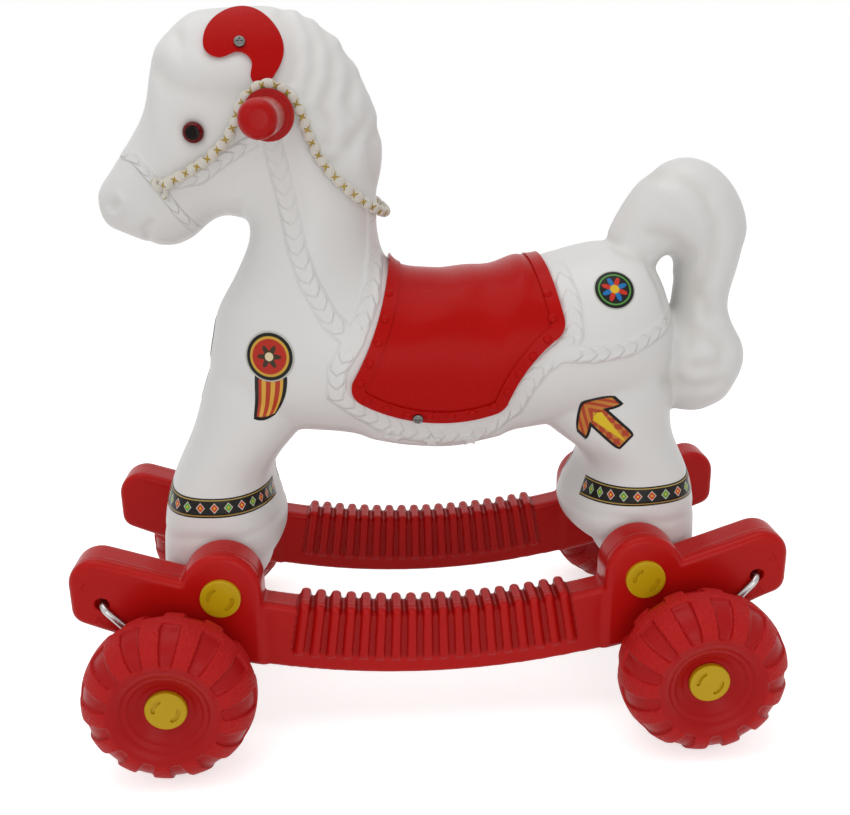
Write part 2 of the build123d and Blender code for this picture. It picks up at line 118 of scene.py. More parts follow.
def evaluated_mesh(piece):
    """The mesh that a piece has once its modifiers are applied."""
    graph = bpy.context.evaluated_depsgraph_get()
    return bpy.data.meshes.new_from_object(piece.evaluated_get(graph))


def blown(piece, voxel, rounds, bores=()):
    """Gives a piece an even skin with the soft edges of blow moulding, but leaves the bores as they are."""
    skin = piece.modifiers.new("even_skin", "REMESH")
    skin.mode = "VOXEL"
    skin.voxel_size = voxel
    mesh = evaluated_mesh(piece)
    piece.modifiers.clear()
    bm = bmesh.new()
    bm.from_mesh(mesh)
    soft = [v for v in bm.verts if all(math.hypot(v.co.x - x, v.co.z - z) > reach for x, z, reach in bores)]
    for _ in range(rounds):
        bmesh.ops.smooth_vert(bm, verts=soft, factor=0.5, use_axis_x=True, use_axis_y=True, use_axis_z=True)
    bm.to_mesh(mesh)
    bm.free()
    mesh.shade_smooth()
    piece.data = mesh


horse = smooth_copy("horse_body", "horse_shell")
blown(horse, body_voxel, body_rounds)

# Moulded relief of the body
# The mould's own carving: mane and tail locks, brow, nostril and mouth, and the plaited harness.
# Each line is drawn in side view, as (x, z) in millimetres, and is alike on both sides.
count = len(horse.data.vertices)
points = np.zeros(3 * count)
horse.data.vertices.foreach_get("co", points)
points = points.reshape(-1, 3)
normals = np.zeros(3 * count)
horse.data.vertices.foreach_get("normal", normals)
normals = normals.reshape(-1, 3)
side_view = points[:, (0, 2)] / mm - (0, stance)


def nearest_on(line):
    """For each point of the body in side view: distance across a line, signed, and distance along it."""
    across = np.full(count, 1e6)
    along = np.zeros(count)
    start = 0.0
    for a, b in zip(np.array(line[:-1], float), np.array(line[1:], float)):
        run = b - a
        length = np.hypot(*run)
        offset = side_view - a
        share = np.clip(offset @ run / length**2, 0, 1)
        gap = np.hypot(*(offset - share[:, None] * run).T)
        side = np.sign(run[0] * offset[:, 1] - run[1] * offset[:, 0])
        closer = gap < np.abs(across)
        across[closer] = (gap * np.where(side == 0, 1, side))[closer]
        along[closer] = (start + share * length)[closer]
        start += length
    return across, along


locks = [
    [(-109, 590), (-101, 574), (-99, 556), (-103, 540)],
    [(-92, 588), (-85, 569), (-86, 546), (-92, 528)],
    [(-78, 582), (-70, 557), (-71, 537), (-81, 518), (-72, 504), (-76, 492)],
    [(-60, 562), (-54, 540), (-60, 520), (-51, 503), (-60, 490)],
    [(-44, 541), (-40, 519), (-45, 501), (-61, 486), (-72, 476)],
    [(-32, 503), (-43, 488), (-41, 468), (-36, 446)],
]
lock_backs = [
    [(-100, 592), (-93, 572), (-92, 550), (-97, 532)],
    [(-85, 586), (-77, 564), (-78, 542), (-86, 523)],
    [(-68, 572), (-62, 550), (-65, 528), (-66, 508), (-70, 498)],
    [(-51, 552), (-47, 528), (-52, 510), (-56, 497), (-66, 483)],
    [(-37, 524), (-42, 503), (-50, 488), (-52, 470)],
]
tail_folds = [
    [(192, 458), (219, 454), (237, 440), (248, 417), (247, 386), (240, 357), (250, 339)],
    [(196, 410), (214, 404), (231, 390), (234, 361), (232, 331), (236, 310)],
    [(243, 320), (262, 308), (260, 294), (239, 292)],
    [(209, 283), (240, 271), (266, 276)],
]
tail_backs = [
    [(205, 448), (224, 438), (236, 418), (238, 390), (232, 372)],
    [(252, 436), (263, 412), (263, 386), (257, 362)],
    [(268, 326), (279, 308), (276, 286), (258, 264)],
    [(246, 306), (252, 301)],
]
forelock_edge = [(-207, 548), (-198, 538), (-186, 534), (-170, 531), (-151, 528), (-137, 531)]
forelock_back = [(-203, 562), (-186, 552), (-166, 546), (-146, 548)]
forelock_part = [(-190, 574), (-187, 558), (-180, 546)]
nostril_rim = [(-258, 438), (-252, 435), (-246, 440), (-244, 447), (-248, 452)]
nostril_pit = [(-254, 444), (-251, 446)]
mouth = [(-231, 412), (-230, 425), (-223, 431)]
jaw = [(-196, 418), (-170, 436), (-148, 452), (-133, 474)]
eye_socket = [(-183, 501), (-181, 501)]
rump_edge = [(157, 409), (172, 394), (191, 388), (203, 360), (209, 336)]
hoof_lines = [
    [(-240, 158), (-205, 163), (-165, 160), (-130, 164)],
    [(120, 160), (160, 165), (205, 160), (247, 162)],
]
throat_strap = [
    (-122, 496), (-119, 484), (-116, 471), (-112, 449), (-108, 427), (-105, 408), (-96, 380), (-81, 352),
    (-62, 334),
]
cheek_strap = [(-204, 462), (-180, 466), (-163, 478), (-144, 489), (-134, 494)]
nose_strap = [
    (-247, 486), (-232, 481), (-225, 473), (-214, 460), (-208, 451), (-201, 438), (-194, 427), (-189, 418),
]
pommel_strap = [(-60, 336), (-46, 366), (-40, 407), (-39, 436)]
girth_strap = [
    (-60, 336), (-76, 311), (-78, 290), (-57, 271), (-25, 255), (8, 248), (43, 252), (72, 270),
    (82, 292), (95, 309), (111, 321), (121, 334), (120, 359), (111, 392),
]
breech_strap = [(106, 319), (140, 317), (169, 321), (200, 334), (214, 342)]
girth_swell = [(-44, 248), (-22, 241), (8, 238), (38, 240), (58, 247)]

# half width and height of each kind of relief, in millimetres
groove_list = (
    [(line, 6.0, -2.2) for line in locks]
    + [(line, 7.0, 1.5) for line in lock_backs]
    + [(line, 7.0, -2.1) for line in tail_folds]
    + [(line, 9.0, 1.6) for line in tail_backs]
    + [(forelock_edge, 7.0, -1.7), (forelock_back, 11.0, 2.6), (forelock_part, 5.0, -1.4)]
    + [(nostril_rim, 2.8, 2.2), (nostril_pit, 5.0, -2.0), (mouth, 3.2, -1.7), (jaw, 8.0, 1.2)]
    + [(eye_socket, 12.0, -1.6), (rump_edge, 4.0, -1.8), (girth_swell, 13.0, 6.5)]
    + [(line, 4.0, -0.9) for line in hoof_lines]
)
# The sunk relief is also painted darker as shade, fully so at this depth in millimetres.
hollow_depth = 2.5
lift = np.zeros(count)
for line, width, height in groove_list:
    across, _ = nearest_on(line)
    lift += height * np.exp(-((across / width) ** 2))
hollow_shade = np.clip(-lift / hollow_depth, 0, 1)

strap_list = [
    (throat_strap, 7.8, 0.9),
    (pommel_strap, 7.4, 0.8),
    (girth_strap, 8.0, 0.9),
    (breech_strap, 7.2, 1.0),
    (cheek_strap, 5.4, 0.9),
    (nose_strap, 4.0, 0.8),
]
strap_edge = 1.8
flank_gain = 2.2
mitre_start = 0.6
mitre_fade = 0.5
strap_across = np.full(count, 1e3)
strap_next = np.full(count, 1e3)
strap_along = np.zeros(count)
strap_rise = np.zeros(count)
for line, width, height in strap_list:
    across, along = nearest_on(line)
    rise = np.clip((width + strap_edge - np.abs(across)) / (2 * strap_edge), 0, 1)
    strap_rise = np.maximum(strap_rise, rise * rise * (3 - 2 * rise) * height)
    across = np.clip(across / width, -1e2, 1e2)
    closer = np.abs(across) < np.abs(strap_across)
    strap_next = np.where(closer, np.abs(strap_across), np.minimum(strap_next, np.abs(across)))
    strap_across[closer] = across[closer]
    strap_along[closer] = along[closer]
on_flank = np.clip(np.abs(normals[:, 1]) * flank_gain, 0, 1)
mitre = np.clip((strap_next - np.abs(strap_across) - mitre_start) / mitre_fade, 0, 1)
lift = lift + strap_rise * on_flank
points = points + normals * lift[:, None] * mm
horse.data.vertices.foreach_set("co", points.ravel())
horse.data.update()


def store_on_points(mesh, name, values):
    """Keeps a value for each point of a mesh, for its material to read."""
    attribute = mesh.attributes.new(name, "FLOAT", "POINT")
    attribute.data.foreach_set("value", values.astype(np.float32))


store_on_points(horse.data, "strap_across", np.abs(strap_across))
store_on_points(horse.data, "strap_along", strap_along)
store_on_points(horse.data, "strap_flank", on_flank)
store_on_points(horse.data, "plait_share", mitre * on_flank)
store_on_points(horse.data, "hollow_shade", hollow_shade)
horse.data.shade_smooth()


def node_group(name, inputs, outputs):
    """An empty shader group with named float or colour sockets, and its two end nodes."""
    group = bpy.data.node_groups.new(name, "ShaderNodeTree")
    for socket, kind, value in inputs:
        made = group.interface.new_socket(socket, in_out="INPUT", socket_type=kind)
        made.default_value = value
    for socket, kind in outputs:
        group.interface.new_socket(socket, in_out="OUTPUT", socket_type=kind)
    return group, group.nodes.new("NodeGroupInput"), group.nodes.new("NodeGroupOutput")


class Field:
    """A value that changes over a surface. Arithmetic with it adds Math nodes to its material."""

    def __init__(self, socket):
        self.socket = socket
        self.tree = socket.id_data

    def __add__(self, other):
        return reckoned("ADD", self, other)

    def __sub__(self, other):
        return reckoned("SUBTRACT", self, other)

    def __rsub__(self, other):
        return reckoned("SUBTRACT", other, self)

    def __mul__(self, other):
        return reckoned("MULTIPLY", self, other)

    def __truediv__(self, other):
        return reckoned("DIVIDE", self, other)

    def __abs__(self):
        return reckoned("ABSOLUTE", self)


def feed(node, inputs):
    """Gives a node's inputs their fields, numbers or colours."""
    for name, value in inputs.items():
        if isinstance(value, Field):
            node.id_data.links.new(value.socket, node.inputs[name])
        else:
            node.inputs[name].default_value = (*value, 1.0) if isinstance(value, tuple) else value


def reckoned(operation, *values):
    """The field that a Math node makes from fields and numbers."""
    tree = next(value.tree for value in values if isinstance(value, Field))
    node = tree.nodes.new("ShaderNodeMath")
    node.operation = operation
    feed(node, dict(enumerate(values)))
    return Field(node.outputs[0])


def object_place(node):
    """Places in a piece's own coordinates, for the material that a node belongs to."""
    return Field(node.id_data.nodes.new("ShaderNodeTexCoord").outputs["Object"])


def noise(place, scale, detail=2.0):
    """A noise over a place, at a scale given as a number or a field."""
    node = place.tree.nodes.new("ShaderNodeTexNoise")
    feed(node, {"Vector": place, "Scale": scale, "Detail": detail})
    return Field(node.outputs["Fac"])


def mixed(mask, first, second):
    """A colour that turns into a second one where a mask is 1."""
    node = mask.tree.nodes.new("ShaderNodeMix")
    node.data_type = "RGBA"
    feed(node, {0: mask, 6: first, 7: second})
    return Field(node.outputs[2])


def bumped(height, distance, strength=1.0, after=None):
    """A bump of a height in metres of relief, on top of an earlier normal."""
    node = height.tree.nodes.new("ShaderNodeBump")
    feed(node, {"Height": height, "Distance": distance, "Strength": strength})
    if after:
        feed(node, {"Normal": after})
    return Field(node.outputs["Normal"])


tone_scale = 14.0
marks_scale = 160.0
scuff_start = 0.60
scuff_gain = 5.0
scuff_rough = 0.25
moulded_skin, skin_in, skin_out = node_group(
    "moulded_skin",
    [("Grain", "NodeSocketFloat", 900.0), ("Wear", "NodeSocketFloat", 0.5)],
    [("Tone", "NodeSocketFloat"), ("Height", "NodeSocketFloat"), ("Scuff", "NodeSocketFloat")],
)
skin_place = object_place(skin_out)
scuff = (noise(skin_place, marks_scale, 6.0) - scuff_start) * scuff_gain
feed(skin_out, {
    "Tone": noise(skin_place, tone_scale, 3.0),
    "Height": noise(skin_place, Field(skin_in.outputs["Grain"])),
    "Scuff": reckoned("MAXIMUM", scuff, 0.0) * Field(skin_in.outputs["Wear"]),
})


def shader_of(material):
    """A material's shader."""
    return material.node_tree.nodes["Principled BSDF"]


def new_material(name):
    """A new material and its shader."""
    material = bpy.data.materials.new(name)
    material.use_nodes = True
    return material, shader_of(material)


def skin_finish(shader, grain, wear):
    """Tone, height and scuff of the moulded skin, placed in a material with its own grain and wear."""
    finish = shader.id_data.nodes.new("ShaderNodeGroup")
    finish.node_tree = moulded_skin
    feed(finish, {"Grain": grain, "Wear": wear})
    return [Field(output) for output in finish.outputs]


def moulded_plastic(name, colour, deep, rough, grain, grain_depth, wear, gloss):
    """Coloured plastic from a mould: slow changes of tone, a fine grain and light scuffs."""
    material, shader = new_material(name)
    tone, height, scuff = skin_finish(shader, grain, wear)
    feed(shader, {
        "Base Color": mixed(tone, colour, deep),
        "Roughness": scuff * scuff_rough + rough,
        "Normal": bumped(height, grain_depth),
        "Specular IOR Level": gloss,
    })
    return material


def attribute_value(shader, name):
    """A value that is stored on the mesh's points."""
    node = shader.id_data.nodes.new("ShaderNodeAttribute")
    node.attribute_name = name
    return Field(node.outputs["Fac"])


def linked(shader, name):
    """The field that a shader's input already reads."""
    return Field(shader.inputs[name].links[0].from_socket)


def limited(value):
    """A field held between 0 and 1."""
    return reckoned("MINIMUM", reckoned("MAXIMUM", value, 0.0), 1.0)


def below(value, limit, soft=0.03):
    """A soft-edged mask that is 1 where a value is under a limit."""
    return limited((limit - value) * (1 / soft) + 0.5)


def ridge(offset, half):
    """1 on a line, falling to 0 at half a width on both sides of it."""
    return reckoned("MAXIMUM", 1.0 - abs(offset) / half, 0.0)


def axes(place):
    """The X, Y and Z of a place."""
    node = place.tree.nodes.new("ShaderNodeSeparateXYZ")
    feed(node, {0: place})
    return [Field(output) for output in node.outputs]


hollow_shade_share = 0.6
plate_soft = 1 / 4.5
plait_limit = 0.78
plait_soft = 0.2
plait_pitch = 12.0
plait_slant = 0.6
plait_fall = 4.0
plait_gain = 1.7
strap_relief = 0.7 * mm
seam_half = 0.9 * mm
seam_relief = 0.5 * mm
white_plastic = moulded_plastic(
    "white_plastic", body_white, body_deep_white,
    rough=0.38, grain=700.0, grain_depth=0.06 * mm, wear=0.25, gloss=0.3,
)
shader = shader_of(white_plastic)
# Painted shade: the grooves turn darker by their depth.
painted_hollow_shade = attribute_value(shader, "hollow_shade") * hollow_shade_share
from_middle = attribute_value(shader, "strap_across")
strap_plate = below(from_middle, 1.0, plate_soft) * attribute_value(shader, "strap_flank")
plait_field = below(from_middle, plait_limit, plait_soft) * attribute_value(shader, "plait_share")
plait = attribute_value(shader, "strap_along") * (1 / plait_pitch) + from_middle * plait_slant
plait = reckoned("FRACT", plait)
plait = reckoned("MINIMUM", plait, (1.0 - plait) * plait_fall)
strap = plait * plait_field * plait_gain + strap_plate
strapped = bumped(strap, strap_relief, 1.0, linked(shader, "Normal"))
seam = ridge(axes(object_place(shader))[1], seam_half)
feed(shader, {
    "Base Color": mixed(painted_hollow_shade, linked(shader, "Base Color"), body_hollow_shade),
    "Normal": bumped(seam, seam_relief, 0.8, strapped),
})
finish_with(horse, white_plastic)


def surface_of(piece):
    """A search tree of a piece's faces, to lay other things on it."""
    mesh = piece.data
    spots = [vertex.co for vertex in mesh.vertices]
    return BVHTree.FromPolygons(spots, [face.vertices for face in mesh.polygons])


def on_surface(surface, start, towards):
    """Where a straight line first meets a surface, and the surface's normal there."""
    place, normal, _, _ = surface.ray_cast(Vector(start), Vector(towards))
    return place, normal


def from_beside(surface, x, z, beside):
    """Where a line in from one side, at a place of the side view, meets a surface, and the normal there."""
    return on_surface(surface, (x * mm, beside * ray_start, (z + stance) * mm), (0, -beside, 0))


def standing_on(place, normal):
    """The move that stands a shape made round the origin on a surface."""
    return Matrix.Translation(place) @ normal.to_track_quat("Z", "Y").to_matrix().to_4x4()


def made_mesh(bm, name):
    """The mesh of a finished bmesh, which is then freed."""
    mesh = bpy.data.meshes.new(name)
    bm.to_mesh(mesh)
    bm.free()
    return mesh


ray_start = 0.3
horse_surface = surface_of(horse)
star_places = [(-31, 245), (2, 241), (36, 241)]
star_points = 5
star_reach = 8.3 * mm
star_waist = 3.8 * mm
star_height = 2.4 * mm
star_bevel = 0.45 * mm
stars = bmesh.new()
for beside in sides.values():
    for x, z in star_places:
        place, normal = from_beside(horse_surface, x, z, beside)
        ring = bmesh.ops.create_circle(
            stars, cap_ends=True, segments=2 * star_points, radius=star_reach
        )["verts"]
        for vertex in ring[1::2]:
            vertex.co *= star_waist / star_reach
        bmesh.ops.transform(stars, matrix=standing_on(place - normal * star_height, normal), verts=ring)
        raised = bmesh.ops.extrude_face_region(stars, geom=[ring[0].link_faces[0]])["geom"]
        tops = [item for item in raised if isinstance(item, bmesh.types.BMVert)]
        bmesh.ops.translate(stars, verts=tops, vec=normal * 2 * star_height)
bmesh.ops.recalc_face_normals(stars, faces=stars.faces)
bmesh.ops.bevel(
    stars, geom=stars.edges, offset=star_bevel, affect="EDGES", segments=2, profile=0.5, material=-1,
    clamp_overlap=True,
)
star_mesh = made_mesh(stars, "belly_stars")
star_mesh.shade_smooth()
finish_with(placed(star_mesh, "belly_stars", "horse"), white_plastic)

# Rockers
# Two red blow-moulded beams with a ribbed tread, a domed block over each foot and raised tips.
# The foot rods pass through their blocks, and caps on the rods hold them to the feet.
red = (0.50, 0.007, 0.0055)
deep_red = (0.43, 0.0055, 0.0045)
# Between the tread's ribs the red is painted darker, as shade in the sunk strips.
groove_shade_red = (0.325, 0.004, 0.0033)
parting_offset = 105.5 * mm
parting_half = 1.5 * mm
parting_relief = 0.7 * mm
groove_relief = 0.8 * mm
rocker_plastic = moulded_plastic(
    "rocker_plastic", red, deep_red, rough=0.30, grain=800.0, grain_depth=0.05 * mm, wear=0.35, gloss=0.14
)
shader = shader_of(rocker_plastic)
parting = ridge(abs(axes(object_place(shader))[1]) - parting_offset, parting_half)
parted = bumped(parting, parting_relief, 0.9, linked(shader, "Normal"))
# The sunk strips between the ribs get a painted shade and a bump.
between_ribs = attribute_value(shader, "between_ribs")
feed(shader, {
    "Base Color": mixed(between_ribs, linked(shader, "Base Color"), groove_shade_red),
    "Normal": bumped(1.0 - between_ribs, groove_relief, 0.9, parted),
})
rocker_voxel = 1.4 * mm
rocker_rounds = 2
pivot_reach = 279.5 * mm
pivot_height = 135.5 * mm
bore_pad = 7 * mm
pivot_bores = [(ahead * pivot_reach, pivot_height, bore_pad) for ahead in ends.values()]
rocker_radius = 715 * mm
arc_centre_height = 767.5 * mm
rib_count = 18
rib_pitch = 14.4 * mm
rib_half = 4.6 * mm
rib_bottom = 15 * mm
groove_start = 0.8
groove_soft = 1.4 * mm
groove_foot = 4 * mm
mark_places = [(292, 141), (283.5, 109)]
mark_size = 5.6 * mm
mark_taper = 0.75
mark_line = 1.2 * mm
mark_height = 0.45 * mm
mark_sink = 0.8 * mark_height


def mark_grooves(mesh):
    """Stores on a rocker's points where the sunk strips between its tread's ribs are, for their painted
    shade and bump.
    """
    spots = np.array([vertex.co for vertex in mesh.vertices])
    down = arc_centre_height - spots[:, 2]
    steps = np.arctan2(spots[:, 0], down) * rocker_radius / rib_pitch
    from_rib = np.abs(steps - np.floor(steps) - 0.5) * rib_pitch
    rise = rocker_radius - np.hypot(spots[:, 0], down) - rib_bottom
    sunk = np.clip((from_rib - rib_half) / groove_soft + groove_start, 0, 1)
    sunk *= np.clip(rise / groove_foot, 0, 1)
    sunk[np.abs(steps) > rib_count / 2] = 0
    store_on_points(mesh, "between_ribs", sunk)


for side, beside in sides.items():
    beam = smooth_copy(f"{side}_rocker", f"{side}_rocker_beam")
    blown(beam, rocker_voxel, rocker_rounds, pivot_bores)
    mark_grooves(beam.data)
    finish_with(beam, rocker_plastic)
    beam_surface = surface_of(beam)
    marks = bmesh.new()
    for ahead in ends.values():
        for x, z in mark_places:
            bmesh.ops.create_cone(
                marks, cap_ends=True, segments=3, radius1=mark_size, radius2=mark_size * mark_taper,
                depth=2 * mark_height, matrix=standing_on(*from_beside(beam_surface, ahead * x, z, beside)),
            )
    outlines = [face for face in marks.faces if len(face.verts) == 3]
    bmesh.ops.inset_individual(marks, faces=outlines, thickness=mark_line, depth=-mark_sink)
    mark_mesh = made_mesh(marks, f"{side}_mould_marks")
    finish_with(placed(mark_mesh, f"{side}_mould_marks", "horse"), rocker_plastic)

# Rods and cranks
# Bright zinc-plated steel bar: straight rods through the feet and the head, and a crank for each wheel.
# Each crank is bent from one bar, and turns in a blind bore near its rocker's tip.
zinc_bright = (0.50, 0.49, 0.48)
zinc_dull = (0.34, 0.335, 0.33)
zinc_rough = 0.24
zinc_scuff_rough = 0.3
zinc_grain_depth = 0.03 * mm
zinc, shader = new_material("zinc_plate")
tone, height, scuff = skin_finish(shader, grain=1500.0, wear=1.0)
feed(shader, {
    "Base Color": mixed(tone, zinc_bright, zinc_dull),
    "Metallic": 1.0,
    "Roughness": scuff * zinc_scuff_rough + zinc_rough,
    "Normal": bumped(height, zinc_grain_depth),
})
for rod in ("front_foot_rod", "rear_foot_rod", "handle_rod"):
    finish_with(smooth_copy(rod, f"{rod}_bar"), zinc)
corners = [f"{end}_{side}" for end in ends for side in sides]
for corner in corners:
    finish_with(smooth_copy(f"{corner}_crank", f"{corner}_crank_bar"), zinc)

# Wheels
# Hollow red wheels with broad lugs, blow-moulded with a grain on the lugs and a smooth dished hub.
# Each turns freely on the outer leg of its crank.
wheel_reach = 222 * mm
wheel_middle = 155.7 * mm
wheel_axle_height = 71 * mm
tyre_middle = 54 * mm
dish_radius = 44 * mm
lug_depth = 2.4 * mm
wheel_voxel = 1.2 * mm
wheel_rounds = 2
section_steps = 180
# The recesses and the dished hub are painted a darker red than the lugs, as shade.
recess_shade_red = (0.41, 0.0055, 0.006)
deep_recess_shade_red = (0.37, 0.005, 0.0055)
lug_red = (0.475, 0.010, 0.010)
lug_grain = 480.0
lug_grain_depth = 1.7 * mm
lug_rough = 0.16
recess_gain = 2.0
recess_start = 0.5
wheel_plastic = moulded_plastic(
    "wheel_plastic", recess_shade_red, deep_recess_shade_red,
    rough=0.36, grain=700.0, grain_depth=0.05 * mm, wear=0.5, gloss=0.14,
)
shader = shader_of(wheel_plastic)
on_lug = attribute_value(shader, "on_lug")
coarse = noise(object_place(shader), lug_grain) * on_lug
# The lugs get the lighter red; the darker red left in the recesses and the hub is painted shade.
feed(shader, {
    "Base Color": mixed(on_lug, linked(shader, "Base Color"), lug_red),
    "Roughness": on_lug * lug_rough + linked(shader, "Roughness"),
    "Normal": bumped(coarse, lug_grain_depth, 1.0, linked(shader, "Normal")),
})


def mark_lugs(mesh, centre):
    """Stores where a wheel's grained lugs are: not in the recesses between them or in the dish, which keep
    a darker red of painted shade.
    """
    spots = np.array([vertex.co for vertex in mesh.vertices]) - centre
    radius = np.hypot(spots[:, 0], spots[:, 2])
    reach = np.hypot(spots[:, 1], radius - tyre_middle)
    turn = np.arctan2(spots[:, 1], radius - tyre_middle)
    step = np.floor((turn / math.tau + 0.5) * section_steps).astype(int)
    crown = np.zeros(section_steps + 1)
    np.maximum.at(crown, step, reach)
    sunk = np.clip(recess_gain * (crown[step] - reach) / lug_depth - recess_start, 0, 1)
    outside = np.clip((radius - dish_radius) / lug_depth, 0, 1)
    store_on_points(mesh, "on_lug", (1 - sunk) * outside)


for end, ahead in ends.items():
    for side, beside in sides.items():
        wheel = smooth_copy(f"{end}_{side}_wheel", f"{end}_{side}_wheel_tread")
        blown(wheel, wheel_voxel, wheel_rounds)
        mark_lugs(wheel.data, (ahead * wheel_reach, beside * wheel_middle, wheel_axle_height))
        finish_with(wheel, wheel_plastic)

# Caps
# Yellow moulded discs with a shallow relief.
# They are pressed on the ends of the foot rods and of the wheels' axles.
cap_yellow = (0.56, 0.37, 0.005)
deep_cap_yellow = (0.50, 0.32, 0.004)
cap_plastic = moulded_plastic(
    "cap_plastic", cap_yellow, deep_cap_yellow,
    rough=0.30, grain=900.0, grain_depth=0.03 * mm, wear=0.4, gloss=0.2,
)
for corner in corners:
    for cap in ("boss_cap", "wheel_cap"):
        finish_with(smooth_copy(f"{corner}_{cap}", f"{corner}_{cap}_disc"), cap_plastic)

# Saddle
# A thin red shell moulded to the back, with a raised rim and a row of moulded rivet heads along it.
# One cross-head screw on each side holds it to the body.
saddle_red = (0.46, 0.0055, 0.0045)
deep_saddle_red = (0.41, 0.0045, 0.0035)
saddle_plastic = moulded_plastic(
    "saddle_plastic", saddle_red, deep_saddle_red,
    rough=0.27, grain=700.0, grain_depth=0.05 * mm, wear=0.4, gloss=0.06,
)
shell_sharp_angle = 28
saddle = smooth_copy("saddle", "saddle_shell", shell_sharp_angle)
finish_with(saddle, saddle_plastic)
saddle_surface = surface_of(saddle)
rivet_line = [
    (-31, 369), (-37, 344), (-48, 319), (-59, 297), (-51, 282), (-24, 270), (4, 266), (34, 268), (58, 276),
    (66, 289), (80, 312), (95, 328), (104, 340), (102, 356), (100, 370),
]
rivet_pitch = 18.5
rivet_radius = 3.9 * mm
rivet_flatness = 0.4
rivets = bmesh.new()
for beside in sides.values():
    spare = 0.0
    for (x0, z0), (x1, z1) in zip(rivet_line[:-1], rivet_line[1:]):
        run = math.hypot(x1 - x0, z1 - z0)
        reach = spare
        while reach < run:
            share = reach / run
            x, z = x0 + share * (x1 - x0), z0 + share * (z1 - z0)
            place, normal = from_beside(saddle_surface, x, z, beside)
            if place:
                bmesh.ops.create_uvsphere(
                    rivets, u_segments=14, v_segments=8, radius=rivet_radius,
                    matrix=standing_on(place, normal) @ Matrix.Diagonal((1, 1, rivet_flatness, 1)),
                )
            reach += rivet_pitch
        spare = reach - run
rivet_mesh = made_mesh(rivets, "saddle_rivets")
rivet_mesh.shade_smooth()
finish_with(placed(rivet_mesh, "saddle_rivets", "horse"), saddle_plastic)
screw_bright = (0.20, 0.20, 0.19)
screw_dull = (0.11, 0.11, 0.105)
screw_steel = zinc.copy()
screw_steel.name = "screw_steel"
screw_tone = linked(shader_of(screw_steel), "Base Color").socket.node
feed(screw_tone, {6: screw_bright, 7: screw_dull})
finish_with(smooth_copy("saddle_screws", "saddle_screw_heads"), screw_steel)

# Ears
# Curled red plates of the saddle's plastic, moulded to the sides of the poll.
# One cross-head screw through each holds it to the head.
for side in sides:
    ear = smooth_copy(f"{side}_ear", f"{side}_ear_plate", shell_sharp_angle)
    finish_with(ear, saddle_plastic)
finish_with(smooth_copy("ear_screws", "ear_screw_heads"), screw_steel)

# Eyes
# Glossy moulded beads, dark red with a black pupil, one on each side of the head.
# Each is pressed into a shallow socket.
eye_x, eye_z = -182 * mm, (501 + stance) * mm
eye_sharp_angle = 50
pupil_radius = 5.4 * mm
pupil_edge = mm / 1.8
pupil_black = (0.006, 0.002, 0.002)
iris_red = (0.13, 0.004, 0.006)


def distance(a, b):
    """The length of a line from its two parts."""
    return reckoned("SQRT", a * a + b * b)


eye_bead, shader = new_material("eye_bead")
eye_across, _, eye_up = axes(object_place(shader))
from_pupil = distance(eye_across - eye_x, eye_up - eye_z)
iris = limited((from_pupil - pupil_radius) / pupil_edge)
feed(shader, {
    "Base Color": mixed(iris, pupil_black, iris_red),
    "Roughness": 0.08,
    "Specular IOR Level": 0.12,
})
for side in sides:
    finish_with(smooth_copy(f"{side}_eye", f"{side}_eye_bead", eye_sharp_angle), eye_bead)

# Grips
# Red moulded pegs, each with a collar and a flange.
# They are pushed onto the ends of the handle rod from both sides of the head.
grip_red = (0.44, 0.0055, 0.0045)
deep_grip_red = (0.39, 0.0045, 0.0035)
grip_plastic = moulded_plastic(
    "grip_plastic", grip_red, deep_grip_red,
    rough=0.24, grain=700.0, grain_depth=0.04 * mm, wear=0.4, gloss=0.12,
)
for side in sides:
    finish_with(smooth_copy(f"{side}_grip", f"{side}_grip_peg"), grip_plastic)

# Rein
# A white plaited cord with gold threads laid in it, knotted beside the mouth on both sides.
# It runs up over the handle bosses and hangs round the back of the mane.
rein_side = [
    (-208, -54.2, 461), (-190, -54, 469.5), (-173, -54, 479), (-159, -54, 491), (-149, -54, 505),
    (-144, -54, 520), (-134, -54, 532), (-121, -54, 537.5), (-108, -53.5, 532.5),
    (-98.5, -53.5, 521), (-93.5, -53.5, 507), (-88.5, -53.5, 490), (-80, -52.5, 474),
    (-68, -50, 460), (-54, -44, 447), (-42, -34, 438), (-33.5, -19, 432),
]
rein_route = rein_side + [(-30.5, 0, 430)] + [(x, -y, z) for x, y, z in reversed(rein_side)]
rein_resolution = 16
bead_pitch = 10.5 * mm
bead_radius = 4.9 * mm
bead_neck = 0.60
bead_fullness = 0.8
bead_sway = 0.6 * mm
thread_radius = 0.75 * mm
thread_reach = 3.5 * mm


def curve_of(name, lines, kind):
    """A curve in space with one spline for each line of points."""
    data = bpy.data.curves.new(name, "CURVE")
    data.dimensions = "3D"
    for line in lines:
        spline = data.splines.new(kind)
        spline.points.add(len(line) - 1)
        for point, place in zip(spline.points, line):
            point.co = (*place, 1.0)
    return data


def mesh_of_curve(data):
    """The mesh that a curve makes."""
    guide = bpy.data.objects.new(data.name, data)
    bpy.context.scene.collection.objects.link(guide)
    bpy.context.view_layer.update()
    mesh = evaluated_mesh(guide)
    bpy.data.objects.remove(guide)
    return mesh


def curve_points(route, resolution):
    """Points read from the smooth spline that has a route as its control points."""
    data = curve_of("route", [route], "NURBS")
    data.resolution_u = resolution
    data.splines[0].order_u = 3
    data.splines[0].use_endpoint_u = True
    return [vertex.co.copy() for vertex in mesh_of_curve(data).vertices]


